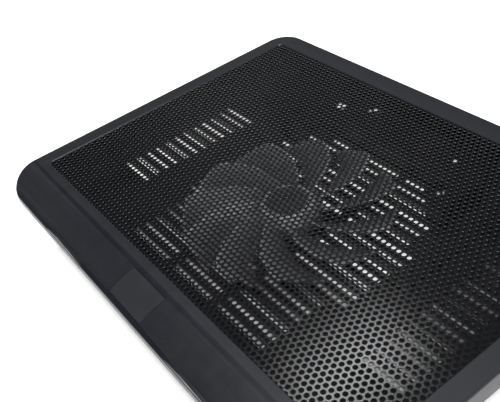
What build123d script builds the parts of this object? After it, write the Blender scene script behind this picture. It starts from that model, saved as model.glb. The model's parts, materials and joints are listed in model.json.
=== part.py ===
from build123d import *
import math
import os

os.makedirs("parts", exist_ok=True)

# Laptop cooling pad: a bezel with a curved front border over a perforated steel sheet, one open fan and a
# slotted tray with a fold-out rear stand. Millimetres. X runs along the front edge, Y
# towards the back, Z up. The origin is at table level, within a millimetre of the point
# under the middle of the outline.

# ---------------------------------------------------------------- driving dimensions
width = 330.0                    # left to right
front_y = -126.6                 # front and back edges of the outline
back_y = 125.0
frame_top = 23.8                 # flat top of the bezel above the table
frame_bottom = 12.0              # parting line between bezel and tray
frame_wall = 2.5                 # skirt thickness
plate_t = 2.0                    # bezel top plate thickness
sheet_lip_t = 0.8                # plate left over the edge of the steel sheet
sheet_play = 0.3                 # space round the sheet in its rebate
rim_r = 1.2                      # rounded outer edge of the bezel
front_corner_r = 23.0
back_corner_r = 17.0

opening_w = 305.0                # window over the mesh
opening_front = -96.5
opening_back = 109.5
opening_r = 3.0
bevel = 0.6                      # sloped rim around the window

border_start = -102.0            # where the front border begins to curve down
border_drop = 7.2                # how far it has fallen at the front edge

mesh_t = 0.6
mesh_top = frame_top - sheet_lip_t
mesh_margin = 2.6                # sheet hidden under the bezel at the sides and back
mesh_front_margin = 1.9
hook_leg = 1.3                   # hooks under the bezel that hold the sheet up in its rebate
hook_toe = 2.8
hook_toe_t = 0.8
hook_len = 8.0
hook_root = 0.4
hook_play = 0.1
side_hook_ys = (-80.0, -40.0, 0.0, 40.0, 80.0)
end_hook_xs = (-100.0, -70.0, -20.0, 20.0, 70.0, 100.0)
coarse_pitch = 11.2              # one coarse hole stands for nine real ones
coarse_hole_r = 4.05

floor_bottom = 4.0
floor_t = 2.0
floor_top = floor_bottom + floor_t
tray_rim_inset = 1.0             # tray outline inside the bezel outline at the parting line
tray_foot_inset = 6.0            # and at the floor
tray_wall = 2.0

fan_x, fan_y = 0.0, -8.3
blade_count = 11
blade_r = 65.0
blade_root_r = 19.8
blade_top = 19.4
blade_bottom = 9.6
blade_t = 1.3
blade_edge_r = 0.45
blade_span_deg = 26.0            # arc that one blade covers seen from above
blade_first_deg = 22.5           # direction of the first blade's leading root edge
hub_r = 21.0
hub_crown_r = 15.0
hub_top = 20.0
hub_bottom = 9.0

shaft_r = 1.5
running_fit = 0.03
bearing_r = 4.0
tube_r = 5.2
motor_seat_r = 23.0
motor_base_r = 21.5
motor_base_t = 1.6

slot_pitch = 8.1
slot_w = 3.8
slot_rows = 19
slot_r = 0.8
side_slot_rows = range(3, 15)    # rows counted from the back
centre_slot_half = 19.8
outer_slot_start = 25.3
side_slot_start = 104.5
side_slot_end = 134.9

screw_r = 1.45
screw_clearance_r = 1.65
screw_head_r = 2.75
screw_head_h = 1.8
screw_head_play = 0.4
screw_head_depth = 4.0           # height of the head's counterbore in a tray post
screw_len = 8.5
cross_l, cross_w, cross_depth = 3.2, 0.7, 0.9
post_r = 4.4
frame_boss_r = 2.8
boss_hole_depth = 5.0
boss_root_gap = 1.0              # between a front boss's end and the bezel's top surface
back_boss_root = 0.5             # how far a back boss runs into the bezel's plate
screw_xs = (-130.0, -45.0, 45.0, 130.0)
front_screw_y = -112.0
back_screw_y = 115.2

pocket_half = 72.0               # outer end of the stand pocket
arm_inner = 61.5                 # inner side of each pocket arm
pocket_front = 46.0
pocket_back = 85.5
bar_front = 70.5
notch_half = 25.0
notch_splay = 9.0                # how far each side of the finger notch slants
notch_back = 95.5
pocket_corner = 8.0
pocket_wall = 1.5
pocket_roof_gap = 1.4            # space between the pocket roof and the sheet
pocket_roof = mesh_top - mesh_t - pocket_roof_gap
# small white felt pads on the pocket roof: middle x, y, length, width, direction
felt_spots = (
    (-48.5, 79.8, 7.2, 4.6, 20.0),
    (49.0, 82.0, 3.0, 2.8, 0.0),
    (-27.2, 90.0, 9.6, 1.3, 38.0),
    (63.0, 54.2, 4.4, 1.1, 69.0),
)
felt_play = 0.1
stand_gap = 0.8
stand_t = 8.0
stand_bottom = 4.3
pin_r = 1.5
pin_play = 0.05
pivot_y = 51.5
pivot_z = stand_bottom + stand_t / 2

lip_x = 71.5                     # arched laptop stop lips on the front edge
lip_len = 60.5
lip_w = 2.2
lip_h = 3.2
lip_root = 0.8
lip_inset = 0.4
lip_edge_r = 0.6

badge_x = 1.9
badge_w = 34.4
badge_front_y = -123.8
badge_back_y = -105.4
badge_t = 0.8
badge_gap = 0.25
badge_corner_r = 0.5

fan_screw_ring_r = 18.0
fan_screw_start = 100.0
fan_screw_r = 1.0
fan_screw_len = 2.8
fan_screw_head_r = 1.9
fan_screw_head_h = 1.2
fan_screw_play = 0.2
fan_cross_l, fan_cross_w, fan_cross_depth = 2.4, 0.5, 0.6
fan_boss_wall = 1.2
fan_boss_h = 2.4
fan_boss_hole = 2.0
seat_h = 1.0
seat_play = 0.3

tube_floor = 7.4
tube_top = 14.6
bearing_bottom = 8.6
bearing_top = 14.4
board_seat_r = 7.4
board_z = 8.5
board_r = 14.0
board_t = 0.8
washer_r = 3.2
washer_t = 0.4
stator_seat_r = 6.4
stator_z = 10.3
stator_h = 3.0
stator_r = 14.2
stator_ring_t = 1.9
stator_hub_r = 7.6
pole_count = 4
pole_r = 9.8                     # middle of each pole's arm
pole_w = 3.0
pole_len = 6.0
pole_gap = 2.4                   # break in the outer ring between two poles
coil_inner = 7.9
coil_outer = 11.5
coil_w = 6.2
coil_over = 0.7                  # coil above and below the core
coil_corner_r = 0.9

yoke_r = 17.0
yoke_t = 0.8
yoke_bottom = 9.6
yoke_top = 16.4
shaft_bottom = 7.7
shaft_top = 18.4
magnet_t = 1.3
magnet_h = 4.6
magnet_lift = 0.5
clip_r = 2.6
clip_t = 0.4
clip_slot_l, clip_slot_w = 2.4, 1.2
hub_boss_r = 3.5
hub_boss_bottom = 15.1
hub_shoulder_z = 15.4
disc_r = 12.9
disc_t = 0.35
disc_z = 19.5

# radius and forward sweep of each blade section, from root to tip
blade_sections = ((blade_root_r, 0.0), (31.0, 8.5), (42.0, 15.5), (53.0, 23.0), (66.5, 35.0))

pad_x = 138.0
pad_front_y = -100.0
pad_back_y = 98.0
pad_w = 26.0
pad_d = 10.0
pad_r = 4.0
pad_recess = 1.0

tip_x = 48.0
tip_w = 18.0
tip_h = 5.0
tip_seat = 1.0
tip_proud = 0.35
tip_corner_r = 1.0
tab_w, tab_d, tab_t, tab_r = 36.0, 9.0, 2.5, 2.5
tab_overhang = 1.5               # middle of the tab behind the back of the bar
hollow_x = 33.0
hollow_w, hollow_d, hollow_r, hollow_depth = 46.0, 8.0, 2.0, 1.5
pin_end = 0.4                    # pin beyond the pocket wall at each end

grommet_front = 114.5
grommet_r = 2.4
grommet_bore_r = 1.6
grommet_flange = 0.4
grommet_flange_t = 1.2
grommet_block_w = 9.0

lead_r = 0.65
lead_gap = 0.75                  # each lead's offset from the middle of the pair
lead_start = 11.5
lead_z = floor_top + 0.75
lead_y = fan_y + slot_pitch / 2
lead_x = 90.0
peg_w, peg_d, peg_h = 1.0, 3.0, 3.0
peg_offset = 2.2
peg_ys = (20.0, 60.0)
grommet_z = 8.9

# ---------------------------------------------------------------- derived values
opening_d = opening_back - opening_front
opening_y = (opening_back + opening_front) / 2
sheet_front = opening_front - mesh_front_margin
sheet_back = opening_back + mesh_margin
border_run = border_start - front_y
border_r = (border_run ** 2 + border_drop ** 2) / (2 * border_drop)
front_top = frame_top - border_drop


def border_z(y):
    """Height of the bezel's top surface at y, in front of border_start."""
    return frame_top - border_r + math.sqrt(border_r ** 2 - (border_start - y) ** 2)


def body_outline(inset):
    """Closed plan outline of the pad, moved inwards by inset: four lines and four arcs."""
    half = width / 2 - inset
    y0, y1 = front_y + inset, back_y - inset
    rf, rb = front_corner_r - inset, back_corner_r - inset
    with BuildLine(mode=Mode.PRIVATE) as outline:
        Line((-half + rf, y0), (half - rf, y0))
        RadiusArc((half - rf, y0), (half, y0 + rf), -rf)
        Line((half, y0 + rf), (half, y1 - rb))
        RadiusArc((half, y1 - rb), (half - rb, y1), -rb)
        Line((half - rb, y1), (-half + rb, y1))
        RadiusArc((-half + rb, y1), (-half, y1 - rb), -rb)
        Line((-half, y1 - rb), (-half, y0 + rf))
        RadiusArc((-half, y0 + rf), (-half + rf, y0), -rf)
    return outline.line


def save(piece, name):
    piece.part.label = name
    export_step(piece.part, f"parts/{name}.step")


# ---------------------------------------------------------------- top frame
def bezel_block(inset, drop):
    """Solid under the bezel's top surface, inset in plan and lowered by drop."""
    top = frame_top - drop
    past_y = front_y - 1
    with BuildPart(mode=Mode.PRIVATE) as block:
        with BuildSketch(Plane.XY.offset(frame_bottom)):
            with BuildLine():
                add(body_outline(inset))
            make_face()
        extrude(amount=top - frame_bottom + 1)
        with BuildSketch(Plane.YZ):
            with BuildLine():
                ThreePointArc(
                    (past_y, border_z(past_y) - drop),
                    ((past_y + border_start) / 2, border_z((past_y + border_start) / 2) - drop),
                    (border_start, top),
                )
                Polyline(
                    (border_start, top),
                    (back_y + 1, top),
                    (back_y + 1, frame_bottom - 1),
                    (past_y, frame_bottom - 1),
                    (past_y, border_z(past_y) - drop),
                )
            make_face()
        extrude(amount=width, both=True, mode=Mode.INTERSECT)
        if inset == 0:
            skirt = block.faces().filter_by(lambda f: abs(f.normal_at().Z) < 0.01).edges()
            rim = skirt.filter_by(lambda e: e.center().Z > front_top - 0.1).filter_by(
                lambda e: abs(e.tangent_at(0.5).Z) < 0.9
            )
            fillet(rim, radius=rim_r)
    return block.part


def border_band(grow, low, high):
    """Block at the badge, grown by grow in plan, from low to high above the border's surface."""
    y0, y1 = badge_front_y - grow, badge_back_y + grow
    middle = (y0 + y1) / 2
    half = badge_w / 2 + grow
    with BuildPart(mode=Mode.PRIVATE) as band:
        with BuildSketch(Plane.YZ.offset(badge_x - half)):
            with BuildLine():
                ThreePointArc(
                    (y0, border_z(y0) + low), (middle, border_z(middle) + low), (y1, border_z(y1) + low))
                Line((y1, border_z(y1) + low), (y1, border_z(y1) + high))
                ThreePointArc(
                    (y1, border_z(y1) + high), (middle, border_z(middle) + high), (y0, border_z(y0) + high))
                Line((y0, border_z(y0) + high), (y0, border_z(y0) + low))
            make_face()
        extrude(amount=2 * half)
        fillet(band.edges().filter_by(Axis.Z), radius=badge_corner_r)
    return band.part


with BuildPart() as top_frame:
    add(bezel_block(0, 0))
    add(bezel_block(frame_wall, plate_t), mode=Mode.SUBTRACT)

    # rebate for the steel sheet, then the window over it, with a sloped rim
    with BuildSketch(Plane.XY.offset(mesh_top)):
        with Locations((0, (sheet_front + sheet_back) / 2)):
            RectangleRounded(
                opening_w + 2 * (mesh_margin + sheet_play),
                sheet_back - sheet_front + 2 * sheet_play,
                opening_r,
            )
    extrude(amount=-plate_t, mode=Mode.SUBTRACT)
    with BuildSketch(Plane.XY.offset(mesh_top - plate_t)):
        with Locations((0, opening_y)):
            RectangleRounded(opening_w, opening_d, opening_r)
    extrude(amount=2 * plate_t, mode=Mode.SUBTRACT)
    window_edges = (
        top_frame.edges()
        .filter_by_position(Axis.Z, frame_top - 0.01, frame_top + 0.01)
        .filter_by(lambda e: abs(e.center().X) < opening_w / 2 + 0.5)
        .filter_by(lambda e: opening_front - 0.5 < e.center().Y < opening_back + 0.5)
    )
    chamfer(window_edges, length=bevel)

    # screw bosses from the top plate down to the parting line
    with BuildSketch(Plane.XY.offset(frame_bottom)):
        with Locations([(x, front_screw_y) for x in screw_xs]):
            Circle(frame_boss_r)
    extrude(amount=border_z(front_screw_y) - frame_bottom - boss_root_gap)
    with BuildSketch(Plane.XY.offset(frame_bottom)):
        with Locations([(x, back_screw_y) for x in screw_xs]):
            Circle(frame_boss_r)
    extrude(amount=mesh_top - frame_bottom + back_boss_root)
    with BuildSketch(Plane.XY.offset(frame_bottom)):
        with Locations([(x, y) for x in screw_xs for y in (front_screw_y, back_screw_y)]):
            Circle(screw_r)
    extrude(amount=boss_hole_depth, mode=Mode.SUBTRACT)

    # moulded hooks that grip the edge of the steel sheet
    toe_z = mesh_top - mesh_t - hook_play
    leg_h = mesh_top - toe_z + hook_root
    leg_z = (mesh_top + hook_root + toe_z) / 2
    for sign in (-1, 1):
        hook_x = sign * (opening_w / 2 + mesh_margin + sheet_play + hook_leg / 2)
        toe_x = sign * (opening_w / 2 + mesh_margin + sheet_play + hook_leg - hook_toe / 2)
        with Locations([(hook_x, opening_y + y, leg_z) for y in side_hook_ys]):
            Box(hook_leg, hook_len, leg_h)
        with Locations([(toe_x, opening_y + y, toe_z - hook_toe_t / 2) for y in side_hook_ys]):
            Box(hook_toe, hook_len, hook_toe_t)
    for edge_y, sign in ((sheet_back, 1), (sheet_front, -1)):
        hook_y = edge_y + sign * (sheet_play + hook_leg / 2)
        toe_y = edge_y + sign * (sheet_play + hook_leg - hook_toe / 2)
        with Locations([(x, hook_y, leg_z) for x in end_hook_xs]):
            Box(hook_len, hook_leg, leg_h)
        with Locations([(x, toe_y, toe_z - hook_toe_t / 2) for x in end_hook_xs]):
            Box(hook_len, hook_toe, hook_toe_t)

    # two arched laptop stop lips on the front edge
    for middle in (-lip_x, lip_x):
        with BuildPart(mode=Mode.PRIVATE) as lip:
            with BuildSketch(Plane.XZ.offset(-(front_y + lip_inset))):
                with BuildLine():
                    ThreePointArc(
                        (middle - lip_len / 2, front_top - lip_root),
                        (middle, front_top + lip_h),
                        (middle + lip_len / 2, front_top - lip_root),
                    )
                    Line(
                        (middle + lip_len / 2, front_top - lip_root),
                        (middle - lip_len / 2, front_top - lip_root),
                    )
                make_face()
            extrude(amount=-lip_w)
            fillet(lip.edges().filter_by(GeomType.CIRCLE), radius=lip_edge_r)
        add(lip.part)

    # shallow recess for the badge plate
    add(border_band(0, -badge_t, badge_t), mode=Mode.SUBTRACT)
save(top_frame, "top_frame")

with BuildPart() as badge_plate:
    add(border_band(-badge_gap, -badge_t, 0))
save(badge_plate, "badge_plate")

# ---------------------------------------------------------------- mesh panel
row_step = coarse_pitch * math.sqrt(3) / 2
with BuildPart() as mesh_panel:
    with BuildSketch(Plane.XY.offset(mesh_top - mesh_t)):
        with Locations((0, (sheet_front + sheet_back) / 2)):
            RectangleRounded(opening_w + 2 * mesh_margin, sheet_back - sheet_front, opening_r)
        with Locations((0, opening_y)):
            with GridLocations(coarse_pitch, 2 * row_step, 27, 11):
                Circle(coarse_hole_r, mode=Mode.SUBTRACT)
            with GridLocations(coarse_pitch, 2 * row_step, 26, 10):
                Circle(coarse_hole_r, mode=Mode.SUBTRACT)
    extrude(amount=mesh_t)
save(mesh_panel, "mesh_panel")

# ---------------------------------------------------------------- base tray


def tray_inset(z):
    """Inset of the tray's tapered outer wall from the bezel outline at height z."""
    share = (z - floor_bottom) / (frame_bottom - floor_bottom)
    return tray_foot_inset + (tray_rim_inset - tray_foot_inset) * share


def slot_end(row):
    """Outer end of an outer-column slot; rows count from the back."""
    if row == 0:
        return 41.5
    if row < 3:
        return 58.6
    return 76.8 if 6 <= row <= 12 else 67.8


def pocket_plan(grow):
    """Plan of the stand pocket: a bar with two arms and a finger notch, grown by grow."""
    half_points = [
        (arm_inner, bar_front),
        (arm_inner, pocket_front),
        (pocket_half, pocket_front),
        (pocket_half, pocket_back - pocket_corner),
        (pocket_half - pocket_corner, pocket_back),
        (notch_half + notch_splay, pocket_back),
        (notch_half, notch_back),
    ]
    mirrored = [(-x, y) for x, y in reversed(half_points)]
    with BuildSketch(mode=Mode.PRIVATE) as plan:
        with BuildLine():
            Polyline(*half_points, *mirrored, close=True)
        make_face()
        if grow:
            offset(amount=grow, kind=Kind.INTERSECTION)
    return plan.sketch


with BuildPart() as base_tray:
    # tapered shell
    for z in (floor_bottom, frame_bottom):
        with BuildSketch(Plane.XY.offset(z)):
            with BuildLine():
                add(body_outline(tray_inset(z)))
            make_face()
    loft()
    for z in (floor_top, frame_bottom):
        with BuildSketch(Plane.XY.offset(z)):
            with BuildLine():
                add(body_outline(tray_inset(z) + tray_wall))
            make_face()
    loft(mode=Mode.SUBTRACT)

    # pocket for the rear stand, whose roof lies just under the mesh
    with BuildSketch(Plane.XY.offset(floor_bottom)):
        add(pocket_plan(pocket_wall))
    extrude(amount=pocket_roof - floor_bottom)
    with BuildSketch(Plane.XY.offset(floor_bottom)):
        add(pocket_plan(0))
    extrude(amount=pocket_roof - pocket_wall - floor_bottom, mode=Mode.SUBTRACT)
    for sign in (-1, 1):
        with BuildSketch(Plane.YZ.offset(sign * (arm_inner - 3))):
            with Locations((pivot_y, pivot_z)):
                Circle(pin_r)
        extrude(amount=sign * (pocket_half - arm_inner + 6), mode=Mode.SUBTRACT)

    # screw posts
    posts = [(x, y) for x in screw_xs for y in (front_screw_y, back_screw_y)]
    with BuildSketch(Plane.XY.offset(floor_bottom)):
        with Locations(posts):
            Circle(post_r)
    extrude(amount=frame_bottom - floor_bottom)
    with BuildSketch(Plane.XY.offset(floor_bottom)):
        with Locations(posts):
            Circle(screw_clearance_r)
    extrude(amount=frame_bottom - floor_bottom, mode=Mode.SUBTRACT)
    with BuildSketch(Plane.XY.offset(floor_bottom)):
        with Locations(posts):
            Circle(screw_head_r + screw_head_play)
    extrude(amount=screw_head_depth, mode=Mode.SUBTRACT)

    # seat for the motor base
    with BuildSketch(Plane.XY.offset(floor_top)):
        with Locations((fan_x, fan_y)):
            Circle(motor_seat_r)
            Circle(motor_base_r + seat_play, mode=Mode.SUBTRACT)
    extrude(amount=seat_h)
    with Locations((fan_x + motor_seat_r - 1, lead_y, floor_top + 1)):
        Box(5, 4, 2, mode=Mode.SUBTRACT)
    with BuildSketch(Plane.XY.offset(floor_bottom)):
        with Locations((fan_x, fan_y)):
            with PolarLocations(fan_screw_ring_r, 3, start_angle=fan_screw_start):
                Circle(fan_screw_r + fan_screw_play)
    extrude(amount=floor_t, mode=Mode.SUBTRACT)
    with BuildSketch(Plane.XY.offset(floor_bottom)):
        with Locations((fan_x, fan_y)):
            with PolarLocations(fan_screw_ring_r, 3, start_angle=fan_screw_start):
                Circle(fan_screw_head_r + fan_screw_play)
    extrude(amount=fan_screw_head_h, mode=Mode.SUBTRACT)

    # air slots under the fan and at both sides
    with BuildSketch(Plane.XY.offset(floor_bottom)):
        for row in range(slot_rows):
            y = fan_y + slot_pitch * (slot_rows // 2 - row)
            if abs(y - fan_y) > motor_seat_r + 0.5:
                with Locations((0, y)):
                    RectangleRounded(2 * centre_slot_half, slot_w, slot_r)
            end = slot_end(row)
            middle = (outer_slot_start + end) / 2
            with Locations((-middle, y), (middle, y)):
                RectangleRounded(end - outer_slot_start, slot_w, slot_r)
            if row in side_slot_rows:
                side_middle = (side_slot_start + side_slot_end) / 2
                with Locations((-side_middle, y), (side_middle, y)):
                    RectangleRounded(side_slot_end - side_slot_start, slot_w, slot_r)
    extrude(amount=floor_t, mode=Mode.SUBTRACT)

    # pegs that keep the fan leads in place, and the block that holds the inlet grommet
    with Locations([
        (lead_x + dx, y, floor_top + peg_h / 2) for dx in (-peg_offset, peg_offset) for y in peg_ys
    ]):
        Box(peg_w, peg_d, peg_h)
    block_back = back_y - tray_inset(grommet_z) - 0.5
    with BuildSketch(Plane.XY.offset(floor_top)):
        with Locations((lead_x, (grommet_front + block_back) / 2)):
            Rectangle(grommet_block_w, block_back - grommet_front)
    extrude(amount=frame_bottom - floor_top)
    with BuildSketch(Plane.XZ.offset(-grommet_front + 5)):
        with Locations((lead_x, grommet_z)):
            Circle(grommet_r)
    extrude(amount=-30, mode=Mode.SUBTRACT)

    # recesses for the rubber pads
    with BuildSketch(Plane.XY.offset(floor_bottom)):
        with Locations([(x, y) for x in (-pad_x, pad_x) for y in (pad_front_y, pad_back_y)]):
            RectangleRounded(pad_w + 0.2, pad_d + 0.2, pad_r)
    extrude(amount=pad_recess, mode=Mode.SUBTRACT)
save(base_tray, "base_tray")

# ---------------------------------------------------------------- rubber pads
pad_places = {
    "rubber_pad_front_left": (-pad_x, pad_front_y),
    "rubber_pad_front_right": (pad_x, pad_front_y),
    "rubber_pad_back_left": (-pad_x, pad_back_y),
    "rubber_pad_back_right": (pad_x, pad_back_y),
}
for name, place in pad_places.items():
    with BuildPart() as rubber_pad:
        with BuildSketch():
            with Locations(place):
                RectangleRounded(pad_w, pad_d, pad_r)
        extrude(amount=floor_bottom + pad_recess)
        fillet(rubber_pad.faces().sort_by(Axis.Z)[0].edges(), radius=0.8)
    save(rubber_pad, name)

# ---------------------------------------------------------------- screws

with BuildPart() as housing_screws:
    head_top = floor_bottom + screw_head_depth
    with BuildSketch(Plane.XY.offset(head_top)):
        with Locations(posts):
            Circle(screw_r)
    extrude(amount=screw_len)
    with BuildSketch(Plane.XY.offset(head_top)):
        with Locations(posts):
            Circle(screw_head_r)
    extrude(amount=-screw_head_h)
    with BuildSketch(Plane.XY.offset(head_top - screw_head_h)):
        with Locations(posts):
            Rectangle(cross_l, cross_w)
            Rectangle(cross_w, cross_l)
    extrude(amount=cross_depth, mode=Mode.SUBTRACT)
save(housing_screws, "housing_screws")

fan_screw_places = [
    (
        fan_x + fan_screw_ring_r * math.cos(math.radians(fan_screw_start + 120 * i)),
        fan_y + fan_screw_ring_r * math.sin(math.radians(fan_screw_start + 120 * i)),
    )
    for i in range(3)
]
with BuildPart() as fan_screws:
    with BuildSketch(Plane.XY.offset(floor_bottom)):
        with Locations(fan_screw_places):
            Circle(fan_screw_head_r)
    extrude(amount=fan_screw_head_h)
    with BuildSketch(Plane.XY.offset(floor_bottom + fan_screw_head_h)):
        with Locations(fan_screw_places):
            Circle(fan_screw_r)
    extrude(amount=fan_screw_len)
    with BuildSketch(Plane.XY.offset(floor_bottom)):
        with Locations(fan_screw_places):
            Rectangle(fan_cross_l, fan_cross_w)
            Rectangle(fan_cross_w, fan_cross_l)
    extrude(amount=fan_cross_depth, mode=Mode.SUBTRACT)
save(fan_screws, "fan_screws")

# ---------------------------------------------------------------- motor, fixed side
fan_axis = Plane(origin=(fan_x, fan_y, 0))


def fan_plane(z):
    return fan_axis.offset(z)


base_top = floor_top + motor_base_t
with BuildPart() as motor_base:
    with BuildSketch(fan_plane(floor_top)):
        Circle(motor_base_r)
    extrude(amount=motor_base_t)
    with BuildSketch(fan_plane(floor_top)):
        with PolarLocations(fan_screw_ring_r, 3, start_angle=fan_screw_start):
            Circle(fan_screw_r + fan_boss_wall)
    extrude(amount=fan_boss_h)
    for radius, top in ((board_seat_r, board_z), (stator_seat_r, stator_z), (tube_r, tube_top)):
        with BuildSketch(fan_plane(base_top)):
            Circle(radius)
        extrude(amount=top - base_top)
    with BuildSketch(fan_plane(tube_floor)):
        Circle(bearing_r)
    extrude(amount=tube_top - tube_floor, mode=Mode.SUBTRACT)
    with BuildSketch(fan_plane(floor_top)):
        with PolarLocations(fan_screw_ring_r, 3, start_angle=fan_screw_start):
            Circle(fan_screw_r)
    extrude(amount=fan_boss_hole, mode=Mode.SUBTRACT)
    with BuildSketch(fan_plane(floor_top)):
        with Locations(((lead_start + motor_base_r) / 2 + 0.5, lead_y - fan_y)):
            Rectangle(motor_base_r - lead_start + 4, 4)
    extrude(amount=motor_base_t, mode=Mode.SUBTRACT)
save(motor_base, "motor_base")

with BuildPart() as sleeve_bearing:
    with BuildSketch(fan_plane(bearing_bottom)):
        Circle(bearing_r)
        Circle(shaft_r + running_fit, mode=Mode.SUBTRACT)
    extrude(amount=bearing_top - bearing_bottom)
    chamfer(sleeve_bearing.edges().filter_by(GeomType.CIRCLE).group_by(SortBy.RADIUS)[-1], length=0.3)
save(sleeve_bearing, "sleeve_bearing")

with BuildPart() as thrust_washer:
    with BuildSketch(fan_plane(bearing_top)):
        Circle(washer_r)
        Circle(shaft_r + 0.1, mode=Mode.SUBTRACT)
    extrude(amount=washer_t)
save(thrust_washer, "thrust_washer")

with BuildPart() as motor_board:
    with BuildSketch(fan_plane(board_z)):
        Circle(board_r)
        Circle(stator_seat_r + 0.1, mode=Mode.SUBTRACT)
    extrude(amount=board_t)
save(motor_board, "motor_board")

with BuildPart() as stator_core:
    with BuildSketch(fan_plane(stator_z)):
        Circle(stator_r)
        Circle(stator_r - stator_ring_t, mode=Mode.SUBTRACT)
        with PolarLocations(stator_r - stator_ring_t / 2, pole_count, start_angle=180 / pole_count):
            Rectangle(2 * stator_ring_t, pole_gap, mode=Mode.SUBTRACT)
        Circle(stator_hub_r)
        with PolarLocations(pole_r, pole_count):
            Rectangle(pole_len, pole_w)
        Circle(tube_r, mode=Mode.SUBTRACT)
    extrude(amount=stator_h)
save(stator_core, "stator_core")

with BuildPart() as stator_windings:
    with BuildSketch(fan_plane(stator_z - coil_over)):
        with PolarLocations((coil_inner + coil_outer) / 2, pole_count):
            RectangleRounded(coil_outer - coil_inner, coil_w, coil_corner_r)
    extrude(amount=stator_h + 2 * coil_over)
    with BuildSketch(fan_plane(stator_z)):
        with PolarLocations(pole_r, pole_count):
            Rectangle(pole_len, pole_w)
    extrude(amount=stator_h, mode=Mode.SUBTRACT)
save(stator_windings, "stator_windings")

# ---------------------------------------------------------------- rotor
with BuildPart() as impeller:
    # hub: skirt, sloped shoulder, crown ring and a recess for the disc
    with BuildSketch(Plane.XZ.offset(-fan_y)):
        with BuildLine():
            Polyline(
                (shaft_r, hub_boss_bottom),
                (hub_boss_r, hub_boss_bottom),
                (hub_boss_r, yoke_top),
                (yoke_r, yoke_top),
                (yoke_r, hub_bottom),
                (hub_r, hub_bottom),
                (hub_r, hub_shoulder_z),
                (hub_crown_r + 0.4, hub_top - 0.5),
                (hub_crown_r - 0.5, hub_top),
                (disc_r + 0.1, hub_top),
                (disc_r + 0.1, disc_z),
                (0, disc_z),
                (0, shaft_top),
                (shaft_r, shaft_top),
                close=True,
            )
        make_face()
    revolve(axis=Axis((fan_x, fan_y, 0), (0, 0, 1)))

    # one blade: thin slanted sections lofted outwards, swept forwards and cut round at the tip
    blade_height = blade_top - blade_bottom
    for turn in range(blade_count):
        with BuildPart(mode=Mode.PRIVATE) as blade:
            for r, forward in blade_sections:
                chord = math.radians(blade_span_deg) * r
                pitch = math.degrees(math.atan2(blade_height - blade_t, chord))
                middle = blade_first_deg + turn * 360 / blade_count + forward + blade_span_deg / 2
                section_plane = Plane(
                    origin=(
                        fan_x + r * math.cos(math.radians(middle)),
                        fan_y + r * math.sin(math.radians(middle)),
                        (blade_top + blade_bottom) / 2,
                    ),
                    x_dir=(-math.sin(math.radians(middle)), math.cos(math.radians(middle)), 0),
                    z_dir=(math.cos(math.radians(middle)), math.sin(math.radians(middle)), 0),
                )
                with BuildSketch(section_plane):
                    RectangleRounded(
                        math.hypot(chord, blade_height - blade_t), blade_t, blade_edge_r, rotation=-pitch)
            loft()
            with BuildSketch(fan_plane(hub_bottom)):
                Circle(blade_r)
            extrude(amount=hub_top - hub_bottom, mode=Mode.INTERSECT)
        add(blade.part)
save(impeller, "impeller")

with BuildPart() as hub_disc:
    with BuildSketch(fan_plane(disc_z)):
        Circle(disc_r)
    extrude(amount=disc_t)
save(hub_disc, "hub_disc")

with BuildPart() as rotor_yoke:
    with BuildSketch(fan_plane(yoke_bottom)):
        Circle(yoke_r)
    extrude(amount=yoke_top - yoke_bottom)
    with BuildSketch(fan_plane(yoke_bottom)):
        Circle(yoke_r - yoke_t)
    extrude(amount=yoke_top - yoke_bottom - yoke_t, mode=Mode.SUBTRACT)
    with BuildSketch(fan_plane(yoke_bottom)):
        Circle(hub_boss_r + 0.05)
    extrude(amount=yoke_top - yoke_bottom, mode=Mode.SUBTRACT)
save(rotor_yoke, "rotor_yoke")

with BuildPart() as rotor_magnet:
    with BuildSketch(fan_plane(yoke_bottom + magnet_lift)):
        Circle(yoke_r - yoke_t)
        Circle(yoke_r - yoke_t - magnet_t, mode=Mode.SUBTRACT)
    extrude(amount=magnet_h)
save(rotor_magnet, "rotor_magnet")

with BuildPart() as rotor_shaft:
    with BuildSketch(fan_plane(shaft_bottom)):
        Circle(shaft_r)
    extrude(amount=shaft_top - shaft_bottom)
save(rotor_shaft, "rotor_shaft")

with BuildPart() as shaft_clip:
    with BuildSketch(fan_plane(shaft_bottom + 0.2)):
        Circle(clip_r)
        Circle(shaft_r, mode=Mode.SUBTRACT)
        with Locations((clip_r, 0)):
            Rectangle(clip_slot_l, clip_slot_w, mode=Mode.SUBTRACT)
    extrude(amount=clip_t)
save(shaft_clip, "shaft_clip")

# ---------------------------------------------------------------- fan leads and inlet
for name, side in (("fan_lead_supply", 1), ("fan_lead_return", -1)):
    y = lead_y + side * lead_gap
    x = lead_x - side * lead_gap
    with BuildPart() as fan_lead:
        with BuildLine() as route:
            FilletPolyline(
                (fan_x + lead_start, y, board_z),
                (fan_x + lead_start, y, lead_z),
                (x, y, lead_z),
                (x, grommet_front - 22, lead_z),
                (x, grommet_front - 8, grommet_z),
                (x, grommet_front + 3, grommet_z),
                radius=[1.0, 6.0, 12.0, 12.0],
            )
        with BuildSketch(Plane(origin=route.line @ 0, z_dir=route.line % 0)):
            Circle(lead_r)
        sweep()
    save(fan_lead, name)

with BuildPart() as cable_grommet:
    with BuildSketch(Plane.XZ.offset(-grommet_front)):
        with Locations((lead_x, grommet_z)):
            Circle(grommet_r)
            Circle(grommet_bore_r, mode=Mode.SUBTRACT)
    extrude(amount=-(block_back + grommet_flange_t - grommet_front))
    with BuildSketch(Plane.XZ.offset(-grommet_front)):
        with Locations((lead_x, grommet_z)):
            Circle(grommet_r + grommet_flange)
            Circle(grommet_bore_r, mode=Mode.SUBTRACT)
    extrude(amount=grommet_flange_t)
save(cable_grommet, "cable_grommet")

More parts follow.
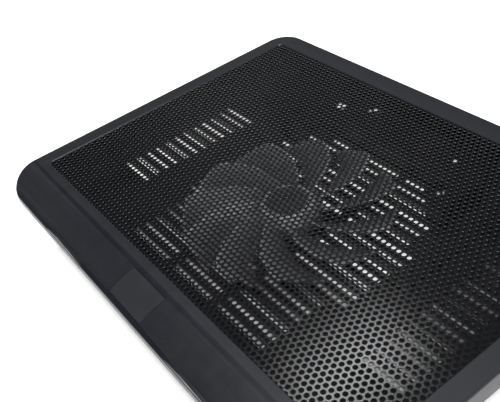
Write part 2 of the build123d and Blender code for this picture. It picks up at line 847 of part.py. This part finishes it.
# ---------------------------------------------------------------- felt pads under the sheet
with BuildPart() as felt_pads:
    for x, y, length, across, turn in felt_spots:
        with BuildSketch(Plane.XY.offset(pocket_roof)):
            with Locations(Location((x, y, 0), (0, 0, turn))):
                RectangleRounded(length, across, min(length, across) / 2 - 0.05)
        extrude(amount=pocket_roof_gap - felt_play)
save(felt_pads, "felt_pads")

# ---------------------------------------------------------------- rear stand
with BuildPart() as rear_stand:
    bar_back = pocket_back - stand_gap
    arm_a, arm_b = arm_inner + stand_gap, pocket_half - stand_gap
    with BuildSketch(Plane.XY.offset(stand_bottom)):
        with BuildLine():
            Polyline(
                (-arm_b, pivot_y), (-arm_b, bar_back - pocket_corner), (-arm_b + pocket_corner, bar_back),
                (arm_b - pocket_corner, bar_back), (arm_b, bar_back - pocket_corner), (arm_b, pivot_y),
                (arm_a, pivot_y), (arm_a, bar_front + stand_gap),
                (-arm_a, bar_front + stand_gap), (-arm_a, pivot_y),
                close=True,
            )
        make_face()
    extrude(amount=stand_t)
    with BuildSketch(Plane.YZ.offset(-arm_b)):
        with Locations((pivot_y, pivot_z)):
            Circle(stand_t / 2)
    extrude(amount=arm_b - arm_a)
    with BuildSketch(Plane.YZ.offset(arm_a)):
        with Locations((pivot_y, pivot_z)):
            Circle(stand_t / 2)
    extrude(amount=arm_b - arm_a)
    with BuildSketch(Plane.YZ.offset(-arm_b)):
        with Locations((pivot_y, pivot_z)):
            Circle(pin_r + pin_play)
    extrude(amount=2 * arm_b, mode=Mode.SUBTRACT)

    # finger tab in the notch
    with BuildSketch(Plane.XY.offset(stand_bottom)):
        with Locations((0, bar_back + tab_overhang)):
            RectangleRounded(tab_w, tab_d, tab_r)
    extrude(amount=tab_t)
    # hollow underside and seats for the rubber tips
    with BuildSketch(Plane.XY.offset(stand_bottom)):
        with Locations((-hollow_x, (bar_front + pocket_back) / 2), (hollow_x, (bar_front + pocket_back) / 2)):
            RectangleRounded(hollow_w, hollow_d, hollow_r)
    extrude(amount=hollow_depth, mode=Mode.SUBTRACT)
    with BuildSketch(Plane.XZ.offset(-bar_back)):
        with Locations((-tip_x, pivot_z), (tip_x, pivot_z)):
            RectangleRounded(tip_w + 0.1, tip_h + 0.1, tip_corner_r)
    extrude(amount=tip_seat, mode=Mode.SUBTRACT)
save(rear_stand, "rear_stand")

for name, sign in (("stand_tip_left", -1), ("stand_tip_right", 1)):
    with BuildPart() as stand_tip:
        with BuildSketch(Plane.XZ.offset(-bar_back + tip_seat)):
            with Locations((sign * tip_x, pivot_z)):
                RectangleRounded(tip_w, tip_h, tip_corner_r)
        extrude(amount=-(tip_seat + tip_proud))
    save(stand_tip, name)

for name, sign in (("stand_pin_left", -1), ("stand_pin_right", 1)):
    with BuildPart() as stand_pin:
        with BuildSketch(Plane.YZ.offset(sign * (arm_inner - pocket_wall - pin_end))):
            with Locations((pivot_y, pivot_z)):
                Circle(pin_r)
        extrude(amount=sign * (pocket_half - arm_inner + 2 * (pocket_wall + pin_end)))
        chamfer(stand_pin.edges().filter_by(GeomType.CIRCLE), length=0.25)
    save(stand_pin, name)
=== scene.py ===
import json
import math

import bmesh
import bpy
import numpy as np
from mathutils import Matrix, Vector


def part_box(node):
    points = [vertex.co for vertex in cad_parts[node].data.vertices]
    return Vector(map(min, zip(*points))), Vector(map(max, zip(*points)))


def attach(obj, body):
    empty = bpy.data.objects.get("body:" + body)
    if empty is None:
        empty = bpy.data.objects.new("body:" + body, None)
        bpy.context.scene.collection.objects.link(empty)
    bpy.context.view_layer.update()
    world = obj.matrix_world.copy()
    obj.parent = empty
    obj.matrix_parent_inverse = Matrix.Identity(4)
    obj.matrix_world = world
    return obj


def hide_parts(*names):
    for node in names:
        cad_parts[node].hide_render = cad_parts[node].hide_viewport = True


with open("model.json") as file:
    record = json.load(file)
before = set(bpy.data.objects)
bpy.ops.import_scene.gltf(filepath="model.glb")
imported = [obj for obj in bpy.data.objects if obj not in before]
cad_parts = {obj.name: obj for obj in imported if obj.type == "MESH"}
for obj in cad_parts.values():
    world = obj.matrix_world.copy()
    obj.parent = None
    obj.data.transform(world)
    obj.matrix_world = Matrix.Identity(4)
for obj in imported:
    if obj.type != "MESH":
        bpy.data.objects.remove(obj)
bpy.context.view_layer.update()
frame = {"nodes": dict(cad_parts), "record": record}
nodes = frame["nodes"]
scene = bpy.context.scene
scene.view_settings.view_transform = "Standard"

# ---------------------------------------------------------------- camera
camera_lens = 52.80
camera_azimuth = 60.7575
camera_elevation = 38.4687
camera_roll = -12.0259
camera_target = Vector((-0.01292, -0.0262, 0.023))
camera_distance = 0.43732
camera_sensor = 36
camera_shift = (0.0006, 0.0010)

azimuth, elevation = math.radians(camera_azimuth), math.radians(camera_elevation)
roll = math.radians(camera_roll)
back = Vector((
    math.sin(azimuth) * math.cos(elevation),
    -math.cos(azimuth) * math.cos(elevation),
    math.sin(elevation),
))
level = (-back).cross(Vector((0, 0, 1))).normalized()
above = level.cross(-back)
right = level * math.cos(roll) + above * math.sin(roll)
up = above * math.cos(roll) - level * math.sin(roll)
camera_data = bpy.data.cameras.new("camera")
camera_data.lens = camera_lens
camera_data.sensor_width = camera_sensor
camera_data.shift_x, camera_data.shift_y = camera_shift
camera = bpy.data.objects.new("camera", camera_data)
camera.matrix_world = Matrix.Translation(camera_target + back * camera_distance) @ Matrix(
    (right, up, back)
).transposed().to_4x4()
scene.collection.objects.link(camera)
scene.camera = camera


# ---------------------------------------------------------------- material tools
wide_band = (0.3, 0.7)           # part of a noise's range that is spread from one value to another
narrow_band = (0.35, 0.65)       # the same, with more contrast
worn_band = (0.50, 0.56)         # pointiness from flat surface to rubbed edge
speck_band = (0.10, 0.05)        # distance from a speck's middle, edge to full
dusty_band = (0.62, 0.70)        # noise where specks begin and where they are full
dust_grey = (0.32, 0.32, 0.33)
gloss_spread = (-0.05, 0.07)     # roughness of handled plastic, about its own value
plate_spread = (-0.06, 0.08)     # and of plated metal


def new_material(name):
    """A node material with its Principled shader and object coordinates in metres."""
    material = bpy.data.materials.new(name)
    material.use_nodes = True
    tree = material.node_tree
    shader = tree.nodes["Principled BSDF"]
    place = tree.nodes.new("ShaderNodeTexCoord").outputs["Object"]
    return material, tree, shader, place


def noise(tree, place, scale, detail=3.0, rough=0.5, stretch=None):
    """Noise with features of about 1 / scale metres, 0 to 1."""
    if stretch:
        mapping = tree.nodes.new("ShaderNodeMapping")
        mapping.inputs["Scale"].default_value = stretch
        tree.links.new(place, mapping.inputs["Vector"])
        place = mapping.outputs["Vector"]
    node = tree.nodes.new("ShaderNodeTexNoise")
    node.inputs["Scale"].default_value = scale
    node.inputs["Detail"].default_value = detail
    node.inputs["Roughness"].default_value = rough
    tree.links.new(place, node.inputs["Vector"])
    return node.outputs["Fac"]


def ramp(tree, value, low, high, start=0.0, end=1.0):
    """Value from low to high, spread over start to end."""
    node = tree.nodes.new("ShaderNodeMapRange")
    node.inputs["From Min"].default_value = low
    node.inputs["From Max"].default_value = high
    node.inputs["To Min"].default_value = start
    node.inputs["To Max"].default_value = end
    tree.links.new(value, node.inputs["Value"])
    return node.outputs["Result"]


def mix(tree, factor, colour_a, colour_b):
    """Colour between two, each an RGB triple or a socket."""
    node = tree.nodes.new("ShaderNodeMix")
    node.data_type = "RGBA"
    tree.links.new(factor, node.inputs["Factor"])
    for socket, colour in ((node.inputs[6], colour_a), (node.inputs[7], colour_b)):
        if isinstance(colour, tuple):
            socket.default_value = (*colour, 1)
        else:
            tree.links.new(colour, socket)
    return node.outputs[2]


def bump(tree, shader, height, distance, strength=0.5):
    """Bump from a height of 0 to 1 that is distance metres deep."""
    node = tree.nodes.new("ShaderNodeBump")
    node.inputs["Strength"].default_value = strength
    node.inputs["Distance"].default_value = distance
    tree.links.new(height, node.inputs["Height"])
    tree.links.new(node.outputs["Normal"], shader.inputs["Normal"])


def edges(tree):
    """1 on worn outer edges, 0 elsewhere."""
    geometry = tree.nodes.new("ShaderNodeNewGeometry")
    return ramp(tree, geometry.outputs["Pointiness"], *worn_band)


def dust(tree, place, scale=420.0):
    """Sparse specks of dust, 0 to 1."""
    node = tree.nodes.new("ShaderNodeTexVoronoi")
    node.inputs["Scale"].default_value = scale
    tree.links.new(place, node.inputs["Vector"])
    speck = ramp(tree, node.outputs["Distance"], *speck_band)
    where = ramp(tree, noise(tree, place, 60.0, 2.0), *dusty_band)
    node = tree.nodes.new("ShaderNodeMath")
    node.operation = "MULTIPLY"
    tree.links.new(speck, node.inputs[0])
    tree.links.new(where, node.inputs[1])
    return node.outputs[0]


def moulded(
    name, dark, light, rough, grain, depth,
    worn=None, specks=True, spec=0.5, painted_foot_shade=None, painted_crest_highlight=None,
):
    """Moulded plastic: fine spark-eroded grain, slow shade changes, edges rubbed lighter, some dust.

    painted_foot_shade is (low, high, colour), painted shade: the surface is that colour at height low and
    its own from high up.
    painted_crest_highlight goes with painted_foot_shade and is (low, high, colour), a painted highlight:
    the surface turns to that colour between the heights.
    """
    material, tree, shader, place = new_material(name)
    cloud = noise(tree, place, 38.0, 4.0, 0.6)
    fine = noise(tree, place, grain, 2.0, 0.6)
    colour = mix(tree, ramp(tree, cloud, *narrow_band), dark, light)
    # painted shade: the colour darkens towards the bottom of the part
    if painted_foot_shade:
        low, high, painted_shade_colour = painted_foot_shade
        split = tree.nodes.new("ShaderNodeSeparateXYZ")
        tree.links.new(place, split.inputs[0])
        colour = mix(tree, ramp(tree, split.outputs[2], low, high), painted_shade_colour, colour)
        # painted highlight: the top edges turn pale
        low, high, wear_and_painted_highlight = painted_crest_highlight
        colour = mix(tree, ramp(tree, split.outputs[2], low, high), colour, wear_and_painted_highlight)
    if worn:
        colour = mix(tree, ramp(tree, edges(tree), 0, 1, 0, 0.5), colour, worn)
    if specks:
        colour = mix(tree, ramp(tree, dust(tree, place), 0, 1, 0, 0.5), colour, dust_grey)
    tree.links.new(colour, shader.inputs["Base Color"])
    smear = noise(tree, place, 95.0, 5.0, 0.65, (1.0, 0.35, 1.0))
    gloss = ramp(tree, smear, *wide_band, *(rough + change for change in gloss_spread))
    tree.links.new(gloss, shader.inputs["Roughness"])
    shader.inputs["Specular IOR Level"].default_value = spec
    bump(tree, shader, fine, depth)
    return material


def metal(name, dark, light, rough, grain=900.0):
    """Metal with slight variation in tone and gloss."""
    material, tree, shader, place = new_material(name)
    mottle = noise(tree, place, grain, 4.0, 0.6)
    tree.links.new(mix(tree, ramp(tree, mottle, *wide_band), dark, light), shader.inputs["Base Color"])
    gloss = ramp(tree, mottle, *wide_band, *(rough + change for change in plate_spread))
    tree.links.new(gloss, shader.inputs["Roughness"])
    shader.inputs["Metallic"].default_value = 1.0
    bump(tree, shader, mottle, 0.00001, 0.4)
    return material


def paint_sheet(name):
    """Black powder coat on the perforated steel sheet, glossier than the plastic and finely pitted."""
    material, tree, shader, place = new_material(name)
    cloud = noise(tree, place, 26.0, 3.0)
    colour = mix(tree, ramp(tree, cloud, *narrow_band), (0.0061, 0.0065, 0.0075), (0.0106, 0.0110, 0.0123))
    wear_and_painted_highlight = ramp(tree, noise(tree, place, 520.0, 4.0, 0.7), 0.60, 0.78, 0.0, 0.35)
    colour = mix(tree, wear_and_painted_highlight, colour, (0.045, 0.046, 0.049))
    colour = mix(tree, ramp(tree, dust(tree, place, 700.0), 0, 1, 0, 0.6), colour, (0.35, 0.35, 0.36))
    tree.links.new(colour, shader.inputs["Base Color"])
    orange_peel = noise(tree, place, 1500.0, 3.0, 0.6)
    tree.links.new(ramp(tree, orange_peel, *wide_band, 0.10, 0.19), shader.inputs["Roughness"])
    shader.inputs["Specular IOR Level"].default_value = 0.68
    bump(tree, shader, orange_peel, 0.00006, 0.45)
    return material


def windings(name):
    """Enamelled copper wire laid in close turns."""
    material, tree, shader, place = new_material(name)
    node = tree.nodes.new("ShaderNodeTexWave")
    node.wave_type = "BANDS"
    node.bands_direction = "Z"
    node.inputs["Scale"].default_value = 900.0
    node.inputs["Distortion"].default_value = 0.6
    tree.links.new(place, node.inputs["Vector"])
    turn = node.outputs["Fac"]
    tree.links.new(mix(tree, turn, (0.20, 0.055, 0.018), (0.62, 0.22, 0.08)), shader.inputs["Base Color"])
    shader.inputs["Metallic"].default_value = 0.85
    tree.links.new(ramp(tree, turn, 0, 1, 0.45, 0.28), shader.inputs["Roughness"])
    bump(tree, shader, turn, 0.0001, 0.6)
    return material


def laminated(name):
    """Stacked steel laminations, seen as thin lines on the edge."""
    material, tree, shader, place = new_material(name)
    node = tree.nodes.new("ShaderNodeTexWave")
    node.wave_type = "BANDS"
    node.bands_direction = "Z"
    node.inputs["Scale"].default_value = 640.0
    tree.links.new(place, node.inputs["Vector"])
    line = node.outputs["Fac"]
    tree.links.new(mix(tree, line, (0.10, 0.10, 0.105), (0.36, 0.36, 0.37)), shader.inputs["Base Color"])
    shader.inputs["Metallic"].default_value = 0.9
    tree.links.new(ramp(tree, noise(tree, place, 800.0), *wide_band, 0.34, 0.5), shader.inputs["Roughness"])
    bump(tree, shader, line, 0.00006, 0.5)
    return material


def circuit(name):
    """Solder mask with a faint pattern of copper traces under it."""
    material, tree, shader, place = new_material(name)
    node = tree.nodes.new("ShaderNodeTexVoronoi")
    node.distance = "MANHATTAN"
    node.inputs["Scale"].default_value = 420.0
    tree.links.new(place, node.inputs["Vector"])
    trace = ramp(tree, node.outputs["Distance"], 0.35, 0.42)
    tree.links.new(mix(tree, trace, (0.012, 0.075, 0.03), (0.03, 0.15, 0.06)), shader.inputs["Base Color"])
    tree.links.new(ramp(tree, noise(tree, place, 700.0), *wide_band, 0.25, 0.4), shader.inputs["Roughness"])
    bump(tree, shader, trace, 0.00003, 0.4)
    return material


fan_points = [vertex.co.z for vertex in nodes["impeller"].data.vertices]
fan_low, fan_high = min(fan_points), max(fan_points)
painted_shade_inset = 0.001                          # painted shade: the blades are darkest this far above the fan's foot and their own colour this far below its top
painted_highlight_from, painted_highlight_full = 0.00115, 0.0009         # below the fan's top: painted highlight, pale blade edges

materials = {
    "bezel_plastic": moulded(
        "bezel_plastic", (0.0070, 0.0079, 0.0123), (0.0092, 0.0104, 0.0158), 0.38,
        grain=2400.0, depth=0.00005, worn=(0.05, 0.051, 0.055)),
    "badge_plastic": moulded(
        "badge_plastic", (0.0083, 0.0093, 0.0146), (0.0104, 0.0116, 0.0175), 0.38,
        grain=3200.0, depth=0.00003, worn=(0.05, 0.05, 0.055), specks=False),
    "mesh_steel": paint_sheet("mesh_steel"),
    "tray_plastic": moulded(
        "tray_plastic", (0.0035, 0.0036, 0.0041), (0.0060, 0.0062, 0.0067), 0.46,
        grain=2000.0, depth=0.00006, worn=(0.022, 0.022, 0.024), spec=0.3),
    # mid grey fan plastic: partly the plastic's own tone, partly painted light that brightens the blades
    # under the sheet
    "fan_plastic": moulded(
        "fan_plastic", (0.22, 0.224, 0.230), (0.28, 0.284, 0.292), 0.26,
        grain=1800.0, depth=0.00003, worn=(0.45, 0.45, 0.46),
        # painted shade: the blades darken towards their foot
        painted_foot_shade=(fan_low + painted_shade_inset, fan_high - painted_shade_inset, (0.035, 0.036, 0.039)),
        # painted highlight on the blades' top edges
        painted_crest_highlight=(fan_high - painted_highlight_from, fan_high - painted_highlight_full, (0.55, 0.55, 0.56))),
    "disc_film": moulded(
        "disc_film", (0.095, 0.0965, 0.100), (0.120, 0.122, 0.126), 0.28,
        grain=3000.0, depth=0.00002, specks=False),
    "bright_steel": metal("bright_steel", (0.42, 0.42, 0.43), (0.66, 0.66, 0.67), 0.26),
    "zinc_steel": metal("zinc_steel", (0.30, 0.31, 0.32), (0.52, 0.53, 0.55), 0.36, 700.0),
    "magnet": moulded(
        "magnet", (0.020, 0.018, 0.017), (0.040, 0.037, 0.035), 0.62,
        grain=900.0, depth=0.00008, specks=False),
    "bronze": metal("bronze", (0.30, 0.17, 0.07), (0.50, 0.30, 0.13), 0.36, 1400.0),
    "nylon": moulded(
        "nylon", (0.55, 0.53, 0.48), (0.68, 0.66, 0.60), 0.45,
        grain=900.0, depth=0.00003, specks=False),
    "board": circuit("board"),
    "laminations": laminated("laminations"),
    "copper": windings("copper"),
    # near-white pads under the sheet; their whiteness is partly painted light, standing in for light seen
    # through the holes
    "felt": moulded(
        "felt", (0.84, 0.84, 0.82), (0.96, 0.96, 0.95), 0.9,
        grain=2200.0, depth=0.0002, specks=False, spec=0.1),
    "lead_black": moulded(
        "lead_black", (0.010, 0.010, 0.011), (0.018, 0.018, 0.019), 0.42,
        grain=1500.0, depth=0.00002, specks=False),
    "rubber_black": moulded(
        "rubber_black", (0.012, 0.012, 0.0125), (0.022, 0.022, 0.023), 0.72,
        grain=1600.0, depth=0.0001, spec=0.3),
}


# ---------------------------------------------------------------- perforated sheet
hole_pitch = 0.00373
hole_r = 0.00133
rim_r = 0.00013                  # chamfered rim round each hole on the top face: width
rim_slope = 0.8                  # and its depth over its width
corners = 12                     # points round each hole and each cell
weld_gap = 1e-6                  # points closer than this are one
level_gap = 1e-7                 # points this close to a face of the sheet are on it
slice_gap = 1e-8                 # the same for the planes that trim the sheet
key_digits = 6                   # decimals that pair a top point with the one under it
sheet_pieces = 4
row_step = hole_pitch * math.sqrt(3) / 2
sheet_low, sheet_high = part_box("mesh_panel")
window_low, window_high = Vector((-0.1525, -0.0965, 0)), Vector((0.1525, 0.1095, 0))


def sheet_part(rows, name):
    """One closed band of the perforated sheet: a hexagon with a round hole round each lattice point."""
    middle = (window_low + window_high) / 2
    count = int((sheet_high.x - sheet_low.x) / hole_pitch) // 2 + 2
    angles = np.radians(np.arange(corners) * (360 // corners))
    reach = np.where(np.arange(corners) % 2, hole_pitch / math.sqrt(3), hole_pitch / 2)
    rings = (
        (reach, sheet_high.z),
        (hole_r + rim_r, sheet_high.z),
        (hole_r, sheet_high.z - rim_r * rim_slope),
        (hole_r, sheet_low.z),
        (reach, sheet_low.z),
    )
    points, faces = [], []
    for row in rows:
        for column in range(-count, count + 1):
            x = middle.x + (column + 0.5 * (row % 2)) * hole_pitch
            y = middle.y + row * row_step
            if abs(x) > sheet_high.x + hole_pitch:
                continue
            base = len(points)
            for radius, z in rings:
                for i, angle in enumerate(angles):
                    r = radius[i] if isinstance(radius, np.ndarray) else radius
                    points.append((x + r * math.cos(angle), y + r * math.sin(angle), z))
            for ring in range(len(rings) - 1):
                for i in range(corners):
                    j = (i + 1) % corners
                    a, b = base + ring * corners, base + (ring + 1) * corners
                    faces.append((a + i, a + j, b + j, b + i))
    mesh = bpy.data.meshes.new(name)
    mesh.from_pydata(points, [], faces)
    bm = bmesh.new()
    bm.from_mesh(mesh)
    bmesh.ops.remove_doubles(bm, verts=bm.verts, dist=weld_gap)
    # sides between this band and its neighbours
    rim = [e for e in bm.edges if e.is_boundary]
    top = {v.index for v in bm.verts if v.co.z > sheet_high.z - level_gap}
    lower = {
        (round(v.co.x, key_digits), round(v.co.y, key_digits)): v
        for v in bm.verts if v.co.z < sheet_low.z + level_gap
    }
    for edge in rim:
        a, b = edge.verts
        if a.index in top and b.index in top:
            c = lower.get((round(b.co.x, key_digits), round(b.co.y, key_digits)))
            d = lower.get((round(a.co.x, key_digits), round(a.co.y, key_digits)))
            if c and d:
                bm.faces.new((a, b, c, d))
    for place, outwards in (
        (sheet_low, Vector((-1, 0, 0))), (sheet_high, Vector((1, 0, 0))),
        (sheet_low, Vector((0, -1, 0))), (sheet_high, Vector((0, 1, 0))),
    ):
        everything = bm.verts[:] + bm.edges[:] + bm.faces[:]
        bmesh.ops.bisect_plane(
            bm, geom=everything, dist=slice_gap, plane_co=place, plane_no=outwards, clear_outer=True)
        cut = [e for e in bm.edges if e.is_boundary]
        bmesh.ops.holes_fill(bm, edges=cut, sides=0)
    bmesh.ops.recalc_face_normals(bm, faces=bm.faces)
    bm.to_mesh(mesh)
    bm.free()
    mesh.materials.append(materials["mesh_steel"])
    sheet = bpy.data.objects.new(name, mesh)
    scene.collection.objects.link(sheet)
    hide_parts("mesh_panel")
    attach(sheet, "housing")


window_middle_y = (window_low.y + window_high.y) / 2
first_row = math.floor((sheet_low.y - window_middle_y) / row_step)
last_row = math.ceil((sheet_high.y - window_middle_y) / row_step)
all_rows = list(range(first_row, last_row + 1))
share = math.ceil(len(all_rows) / sheet_pieces)
for piece in range(sheet_pieces):
    sheet_part(all_rows[piece * share:(piece + 1) * share], f"mesh_sheet_{piece + 1}")


# ---------------------------------------------------------------- finishes on the CAD pieces
for item in frame["record"]["subparts"]:
    data = nodes[item["node"]].data
    data.materials.clear()
    data.materials.append(materials[item["material_slot"]])


# ---------------------------------------------------------------- floor and light
floor_glow = 0.74
floor_half = 4.0
floor_tone = (0.90, 0.93)
# painted shadows: soft-edged boxes under the pad where the floor glows less, (middle, inner half, outer
# half) along X and along Y, then how much less
painted_shadow_right = (((0.124, 0.024, 0.040), (0.0, 0.085, 0.115)), 1.0)
painted_shadow_front = (((-0.01, 0.082, 0.095), (-0.072, 0.038, 0.066)), 0.92)


def painted_floor_shadow(tree, split, sides, strength):
    """Painted shadow: 1 over the floor, and 1 - strength inside a soft-edged box; each side is (middle,
    inner, outer).
    """
    inside = []
    for axis, (middle, inner, outer) in enumerate(sides):
        offset = tree.nodes.new("ShaderNodeMath")
        offset.operation = "SUBTRACT"
        tree.links.new(split.outputs[axis], offset.inputs[0])
        offset.inputs[1].default_value = middle
        away = tree.nodes.new("ShaderNodeMath")
        away.operation = "ABSOLUTE"
        tree.links.new(offset.outputs[0], away.inputs[0])
        inside.append(ramp(tree, away.outputs[0], inner, outer, 1.0, 0.0))
    both = tree.nodes.new("ShaderNodeMath")
    both.operation = "MULTIPLY"
    tree.links.new(inside[0], both.inputs[0])
    tree.links.new(inside[1], both.inputs[1])
    return ramp(tree, both.outputs[0], 0.0, 1.0, 1.0, 1.0 - strength)


def stage_floor():
    """Pale floor that glows, with painted shadows: little glow under the pad's front and none under its
    right end.
    """
    mesh = bpy.data.meshes.new("floor")
    square = ((-1, -1), (1, -1), (1, 1), (-1, 1))
    mesh.from_pydata([(x * floor_half, y * floor_half, 0) for x, y in square], [], [(0, 1, 2, 3)])
    floor = bpy.data.objects.new("floor", mesh)
    scene.collection.objects.link(floor)
    material, tree, shader, place = new_material("floor")
    tone = ramp(tree, noise(tree, place, 3.0, 2.0), *wide_band, *floor_tone)
    tree.links.new(tone, shader.inputs["Base Color"])
    shader.inputs["Roughness"].default_value = 0.9
    shader.inputs["Emission Color"].default_value = (1, 1, 1, 1)
    split = tree.nodes.new("ShaderNodeSeparateXYZ")
    tree.links.new(place, split.inputs[0])
    # painted shadows on the floor under the pad's right end and its front
    painted_shadow_under_right = painted_floor_shadow(tree, split, *painted_shadow_right)
    painted_shadow_under_front = painted_floor_shadow(tree, split, *painted_shadow_front)
    glow = tree.nodes.new("ShaderNodeMath")
    glow.operation = "MULTIPLY"
    tree.links.new(painted_shadow_under_right, glow.inputs[0])
    tree.links.new(ramp(tree, painted_shadow_under_front, 0.0, 1.0, 0.0, floor_glow), glow.inputs[1])
    tree.links.new(glow.outputs[0], shader.inputs["Emission Strength"])
    mesh.materials.append(material)


def soft_light(name, low, high, z, radiance, colour=(1, 1, 1)):
    """Rectangular light that faces down, from corner low to corner high at height z."""
    data = bpy.data.lights.new(name, "AREA")
    data.shape = "RECTANGLE"
    data.size, data.size_y = high[0] - low[0], high[1] - low[1]
    data.energy = radiance * math.pi * data.size * data.size_y
    data.color = colour
    light = bpy.data.objects.new(name, data)
    light.location = ((low[0] + high[0]) / 2, (low[1] + high[1]) / 2, z)
    scene.collection.objects.link(light)


stage_floor()
soft_light("window", (-0.42, 0.18), (-0.30, 0.41), 0.80, 8.5, (0.97, 0.99, 1.0))
soft_light("overhead", (-0.10, -0.90), (1.10, 0.30), 1.60, 7.6)

world = bpy.data.worlds.new("studio")
world.use_nodes = True
tree = world.node_tree
sky_height = (0.40, 0.74, 0.24, 0.03)     # strength from 0.24 low down to 0.03 overhead
sky_side = (0.05, 0.55, 0.40, 1.30)       # stronger towards +Y
backdrop = tree.nodes["Background"]
backdrop.inputs["Color"].default_value = (0.92, 0.95, 1.0, 1)
direction = tree.nodes.new("ShaderNodeSeparateXYZ")
tree.links.new(tree.nodes.new("ShaderNodeTexCoord").outputs["Generated"], direction.inputs[0])
height = ramp(tree, direction.outputs[2], *sky_height)
side = ramp(tree, direction.outputs[1], *sky_side)
strength = tree.nodes.new("ShaderNodeMath")
strength.operation = "MULTIPLY"
tree.links.new(height, strength.inputs[0])
tree.links.new(side, strength.inputs[1])
tree.links.new(strength.outputs[0], backdrop.inputs["Strength"])
scene.world = world
